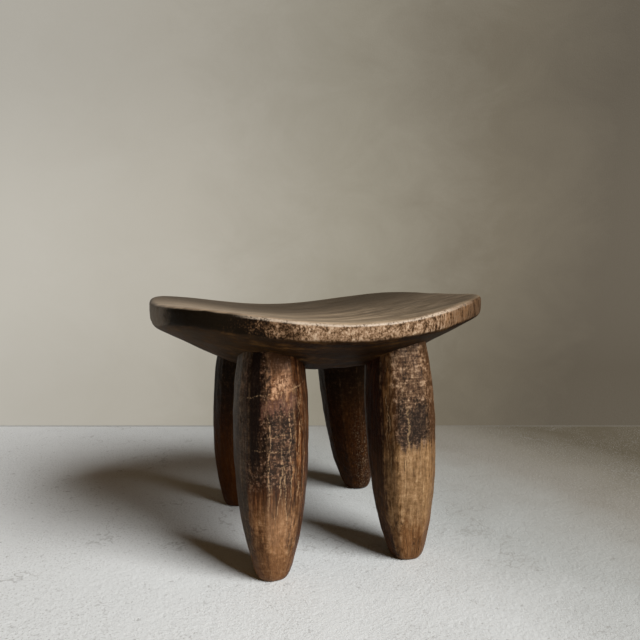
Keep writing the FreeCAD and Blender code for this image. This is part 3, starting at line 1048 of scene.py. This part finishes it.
def front_right_finish(leg):
    """Pale crust above, partly a painted highlight, a charcoal belt, bare tan below and a left side
    darkened as painted shade.
    """
    wood = LegFinish("front_right_patina", leg)
    colour = wood.tones(
        wood.mottled * 0.6 + wood.streaky * 0.4,
        (0.28, (0.080, 0.034, 0.010)),
        (0.42, (0.190, 0.100, 0.039)),
        (0.56, (0.315, 0.181, 0.082)),
        (0.74, (0.530, 0.345, 0.185)),
    )
    pale = wood.tones(
        wood.crusty,
        (0.30, (0.010, 0.004, 0.002)),
        (0.43, (0.056, 0.026, 0.012)),
        (0.55, (0.155, 0.086, 0.046)),
        (0.74, (0.460, 0.310, 0.195)),
    )
    charcoal = wood.tones(
        wood.crusty,
        (0.34, (0.005, 0.002, 0.001)),
        (0.50, (0.027, 0.013, 0.007)),
        (0.62, (0.090, 0.047, 0.026)),
        (0.76, (0.290, 0.180, 0.110)),
    )
    charcoal = wood.blend(wood.flake.rise(0.57, 0.67) * 0.4, charcoal, (0.400, 0.260, 0.165))
    shade = wood.tones(
        wood.streaky,
        (0.30, (0.006, 0.001, 0.000)),
        (0.50, (0.016, 0.003, 0.001)),
        (0.70, (0.060, 0.018, 0.004)),
    )
    strip = wood.tones(
        wood.streaky,
        (0.30, (0.012, 0.004, 0.001)),
        (0.50, (0.036, 0.013, 0.003)),
        (0.70, (0.150, 0.070, 0.023)),
    )
    colour = wood.blend(wood.ragged_height.fall(30, 75) * 0.7, colour, (0.175, 0.068, 0.021))
    colour = wood.blend(wood.patch(20, 80, 0, 40) * 0.4, colour, (0.050, 0.018, 0.006))
    # The pale crust above is partly pale crust and partly a painted highlight where the lamp glints.
    colour = wood.blend(wood.ragged_height.rise(155, 172), colour, pale)
    colour = wood.blend(wood.patch(-20, 140, 162, 218) * 0.92, colour, charcoal)
    colour = wood.blend(wood.patch(20, 50, 172, 208) * 0.6, colour, (0.012, 0.006, 0.004))
    colour = wood.blend(wood.ragged_around.rise(44, 72) * 0.55, colour, (0.080, 0.032, 0.010))
    upper = wood.ragged_height.rise(95, 175)
    colour = wood.blend(wood.ragged_around.within(-30, -6, 5) * (upper * 0.4 + 0.56), colour, strip)
    colour = wood.blend(wood.ragged_around.within(-150, -27, 5) * (upper * 0.1 + 0.87), colour, shade)
    streaks = wood.drip(145, 212, 16, 16, 1.4) + wood.drip(95, 230, -14, -17) * 0.5
    streaks = streaks + wood.drip(60, 200, -22, -20) * 0.5 + wood.checks * wood.around.rise(-30, -20) * 0.25
    colour = wood.blend(streaks.rise(0, 1) * 0.45, colour, (0.460, 0.300, 0.155))
    return wood.complete(colour, 0.14, wood.patch(-2, 46, 50, 300) * 0.32)


def rear_finish(name, leg, dust, bare):
    """Dark brown, blackened above, partly as patina and partly as painted shade under the seat, with dust
    and paler, redder wood low down, and a browner far side without that painted shade.
    """
    wood = LegFinish(name, leg)
    # The near-black brown of the front faces is partly dark patina and partly painted shade under the seat.
    colour = wood.tones(
        wood.mottled * 0.5 + wood.streaky * 0.5,
        (0.30, (0.008, 0.002, 0.000)),
        (0.46, (0.027, 0.007, 0.001)),
        (0.60, (0.052, 0.016, 0.003)),
        (0.76, (0.125, 0.050, 0.014)),
    )
    crust = wood.tones(
        wood.crusty,
        (0.34, (0.002, 0.001, 0.000)),
        (0.54, (0.008, 0.004, 0.002)),
        (0.74, (0.055, 0.029, 0.013)),
    )
    # Blackened above, partly crust and partly painted shade under the seat.
    colour = wood.blend(wood.ragged_height.rise(120, 215) * 0.94, colour, crust)
    colour = wood.blend(wood.ragged_height.fall(70, 170) * bare, colour, (0.095, 0.029, 0.006))
    dusty = wood.flake.rise(0.52, 0.66) * wood.around.rise(-10, 20) * dust
    dusty = dusty * wood.ragged_height.fall(70, 190)
    colour = wood.blend(dust * 0.4, colour, (0.022, 0.010, 0.004))
    worn = wood.tones(
        wood.mottled * 0.5 + wood.streaky * 0.5,
        (0.30, (0.020, 0.007, 0.002)),
        (0.46, (0.090, 0.036, 0.012)),
        (0.60, (0.200, 0.096, 0.038)),
        (0.76, (0.420, 0.240, 0.115)),
    )
    # The far side keeps the brown of the front legs, without the painted shade of the front faces.
    behind = abs(wood.ragged_around).rise(82, 118)
    colour = wood.blend(behind * wood.ragged_height.fall(130, 230), colour, worn)
    colour = wood.blend(behind * wood.ragged_height.rise(210, 260) * 0.5, colour, worn)
    colour = wood.blend(dusty, colour, (0.190, 0.135, 0.086))
    return wood.complete(colour, 0.06, 0.0, 0.06)


def lay_floor():
    """A pale floor that sweeps up behind into a wall."""
    let_go()
    bpy.ops.mesh.primitive_plane_add(size=1)
    floor = bpy.context.object
    floor.name = "floor"
    floor.scale = FLOOR_SIZE
    floor.location = FLOOR_MIDDLE
    bpy.ops.object.transform_apply(location=True, rotation=True, scale=True)
    open_up(floor)
    choose_points(floor, lambda point: point.co.y > 0)
    bpy.ops.mesh.extrude_region_move(TRANSFORM_OT_translate={"value": (0, 0, WALL_HEIGHT)})
    choose_edges(
        floor,
        lambda edge: all(point.co.y > 0 and point.co.z < 0.1 for point in edge.verts),
    )
    bpy.ops.mesh.bevel(offset=WALL_SWEEP, segments=24, affect="EDGES")
    bpy.ops.object.mode_set(mode="OBJECT")
    floor.rotation_euler.z = VIEW_TURN
    bpy.ops.object.transform_apply(location=True, rotation=True, scale=True)
    bpy.ops.object.shade_smooth()
    floor.data.materials.append(floor_finish())


def floor_finish():
    """Pale gritty plaster, dimmed to the back and right by painted light falloff, with a warmer wall tone
    beyond a straight line that glows for camera, glossy and transmission rays as a painted backdrop light,
    falling off from its bright left to its dark right, and a thin painted shade line at its foot.
    """
    plaster = Finish("pale_plaster")
    side = plaster.x * math.cos(VIEW_TURN) + plaster.y * math.sin(VIEW_TURN)
    back = plaster.y * math.cos(VIEW_TURN) - plaster.x * math.sin(VIEW_TURN)
    mottle = plaster.noise((6, 6, 6), detail=7.0, roughness=0.62)
    grit = plaster.noise((170, 170, 170), shift=(3, 1, 2), detail=4.0, roughness=0.7)
    pits = plaster.noise((70, 70, 70), shift=(5, 8, 1), detail=6.0, roughness=0.75)
    speck = plaster.noise((330, 330, 330), shift=(7, 2, 6), detail=3.0, roughness=0.7)
    vein = plaster.noise((5, 5, 5), shift=(1, 6, 3), detail=5.0, roughness=0.6)
    vein = (1 - abs(vein * 2 - 1)).rise(0.985, 0.998) * mottle.rise(0.5, 0.6)
    # Painted light falloff: the floor's colour dims to the back and right as if the lamp's light fell off
    # there.
    pale = plaster.tones(
        (side + back * 0.8 + (mottle - 0.5) * 0.25) * 0.6 + 0.3,
        (0.12, (0.76, 0.78, 0.775)),
        (0.30, (0.665, 0.685, 0.68)),
        (0.45, (0.45, 0.465, 0.45)),
        (0.63, (0.285, 0.27, 0.236)),
        (0.72, (0.225, 0.208, 0.170)),
        (0.83, (0.12, 0.103, 0.072)),
    )
    pale = plaster.blend(speck.rise(0.54, 0.66) * mottle.rise(0.34, 0.54) * 0.6, pale, (0.38, 0.37, 0.35))
    pale = plaster.blend(vein * 0.4, pale, (0.30, 0.29, 0.27))
    pale = plaster.blend(pits.rise(0.60, 0.67) * 0.5, pale, (0.26, 0.25, 0.23))

    away = back + EYE_DISTANCE
    across = side / away
    up = (plaster.z - EYE_HEIGHT) / away
    spot = plaster.node("ShaderNodeCombineXYZ", {}, {"X": across * 7, "Y": up * 9, "Z": 0.0})
    trowel = plaster.noise((1, 1, 1), detail=8.0, roughness=0.68, distortion=0.5, place=spot)
    # Painted light falloff: the wall tone runs from bright on the left to dark on the right, and it glows
    # though it is no lamp.
    wall = plaster.tones(
        across + (trowel - 0.5) * 0.2 + up.fall(-0.27, 0.0) * 0.08 + 0.5,
        (0.0, (0.46, 0.44, 0.39)),
        (0.28, (0.40, 0.376, 0.322)),
        (0.56, (0.25, 0.228, 0.177)),
        (0.80, (0.108, 0.089, 0.057)),
        (1.0, (0.045, 0.033, 0.017)),
    )
    # Painted light falloff darkens the wall towards its top and its foot.
    wall = plaster.blend(up.rise(0.02, 0.36) * 0.2 + up.fall(-0.3, -0.05) * 0.1, wall, (0, 0, 0))

    beyond = back.rise(WALL_LINE, WALL_LINE + 0.006)
    # A thin painted shade line where the floor meets the painted wall.
    wall_foot_shade = back.within(WALL_LINE - 0.006, WALL_LINE + 0.004, 0.002)
    colour = plaster.blend(wall_foot_shade * 0.5, pale, (0.20, 0.19, 0.165))
    colour = plaster.blend(beyond, colour, (0.08, 0.075, 0.065))
    paths = plaster.tree.nodes.new("ShaderNodeLightPath")
    camera, glossy, through = (
        Signal(plaster, paths.outputs[kind])
        for kind in ("Is Camera Ray", "Is Glossy Ray", "Is Transmission Ray")
    )
    # The glow beyond the line is a painted backdrop light that camera, glossy and transmission rays see.
    glow = plaster.blend(beyond * (camera + glossy + through).rise(0, 1), (0, 0, 0), wall)
    plaster.shade(colour, 0.85, grit * 0.6 + speck * 0.3 - pits * 0.9, 0.0013, 0.1, 0.0, glow)
    return plaster.material


def hang_lamp():
    """One large soft lamp, in front and to the right, and a weak warm fill all round."""
    to_lamp = Vector(LAMP_HEADING).normalized() * math.cos(LAMP_RISE)
    to_lamp.z = math.sin(LAMP_RISE)
    let_go()
    bpy.ops.object.light_add(type="AREA", location=LAMP_AIM + to_lamp * LAMP_AWAY)
    lamp = bpy.context.object
    lamp.rotation_euler = to_lamp.to_track_quat("Z", "Y").to_euler()
    lamp.data.shape = "RECTANGLE"
    lamp.data.size, lamp.data.size_y = LAMP_SIZE
    lamp.data.energy = math.pi ** 2 * LAMP_AWAY ** 2 * LAMP_LEVEL

    world = bpy.data.worlds.new("fill")
    world.use_nodes = True
    background = world.node_tree.nodes["Background"]
    background.inputs["Color"].default_value = FILL_COLOUR
    background.inputs["Strength"].default_value = FILL_LEVEL
    bpy.context.scene.world = world


def place_camera():
    """The camera, and colours shown as they are."""
    let_go()
    bpy.ops.object.camera_add(location=CAMERA_PLACE, rotation=(VIEW_TILT, 0, VIEW_TURN))
    camera = bpy.context.object
    camera.data.sensor_width = 36
    camera.data.lens = CAMERA_LENS
    bpy.context.scene.camera = camera
    bpy.context.scene.view_settings.view_transform = "Standard"


seat = carve_seat()
legs = {name: carve_leg(name, leg, seat) for name, leg in LEGS.items()}
cut_mortises(seat)
mark_seat(seat)

finishes = {
    "seat": seat_finish(),
    "front_left_leg": front_left_finish(LEGS["front_left_leg"]),
    "front_right_leg": front_right_finish(LEGS["front_right_leg"]),
    "rear_left_leg": rear_finish("rear_left_patina", LEGS["rear_left_leg"], 0.2, 0.4),
    "rear_right_leg": rear_finish("rear_right_patina", LEGS["rear_right_leg"], 0.7, 0.0),
}
pieces = {"seat": seat, **legs}
for node, piece in pieces.items():
    take_up(piece)
    bpy.ops.object.shade_smooth_by_angle(angle=SMOOTH_BEND)
    piece.data.materials.clear()
    piece.data.materials.append(finishes[node])
    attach(piece, "root")
    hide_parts(node)
    "seat_wood" if node == "seat" else "leg_wood"

lay_floor()
hang_lamp()
place_camera()
